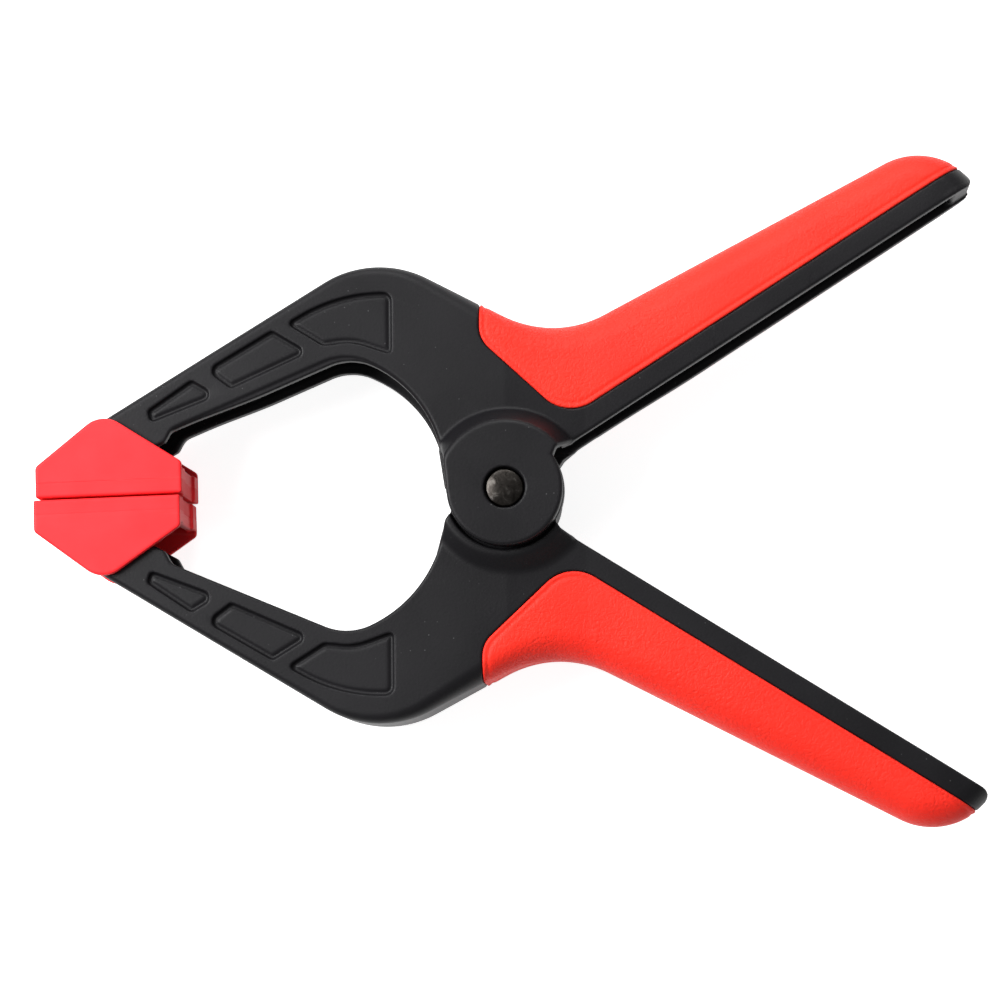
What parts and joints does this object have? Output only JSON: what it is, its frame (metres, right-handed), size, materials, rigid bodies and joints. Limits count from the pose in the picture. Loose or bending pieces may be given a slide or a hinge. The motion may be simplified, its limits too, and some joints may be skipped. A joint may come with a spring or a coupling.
{
  "type": "spring clamp",
  "caption": "Hand spring clamp with crossed channel-section arms, soft moulded-on grips, swivelling jaw pads and a torsion spring that closes the jaws.",
  "frame": {"origin": "on the pivot axis, in the plane of the rear disc's face, on which the clamp lies", "axes": "+Z along the pivot axis from the rear disc to the front disc, -X along the jaws, +X along the handles, +Y the upper arm's side"},
  "size_m": [0.1916, 0.1374, 0.03],
  "materials": {
    "nylon": "black fine-grained satin, glass-filled nylon",
    "grip": "soft red elastomer with a fine leather grain",
    "pad": "smooth pinkish-red plastic, satin",
    "pad_facing": "smooth soft pinkish-red elastomer with fine scuffs",
    "pin": "turned gunmetal steel, dark oxide",
    "spring_steel": "drawn spring steel, oiled"
  },
  "bodies": {
    "upper_arm": {"upper_arm": "nylon", "upper_grip": "grip", "pivot_pin": "pin", "pin_retainer": "spring_steel", "upper_pad_pin": "pin", "torsion_spring": "spring_steel"},
    "lower_arm": {"lower_arm": "nylon", "lower_grip": "grip", "lower_pad_pin": "pin"},
    "upper_pad": {"upper_pad": "pad", "upper_pad_facing": "pad_facing"},
    "lower_pad": {"lower_pad": "pad", "lower_pad_facing": "pad_facing"}
  },
  "joints": [
    {"name": "jaw_pivot", "type": "hinge", "parent": "upper_arm", "child": "lower_arm", "pos_m": [0, 0, 0.015], "axis": [0, 0, 1], "range_deg": [0, 58], "stiffness_Nm_per_rad": 2, "springref_deg": -17.19, "deforming": ["torsion_spring"]},
    {"name": "upper_pad_swivel", "type": "hinge", "parent": "upper_arm", "child": "upper_pad", "pos_m": [-0.0815, 0.01, 0.015], "axis": [0, 0, 1], "range_deg": [0, 29]},
    {"name": "lower_pad_swivel", "type": "hinge", "parent": "lower_arm", "child": "lower_pad", "pos_m": [-0.0815, -0.01, 0.015], "axis": [0, 0, 1], "range_deg": [-29, 0]}
  ],
  "couplings": [
    {"joint": "upper_pad_swivel", "follows": "jaw_pivot", "ratio": 0.5},
    {"joint": "lower_pad_swivel", "follows": "jaw_pivot", "ratio": -0.5}
  ]
}
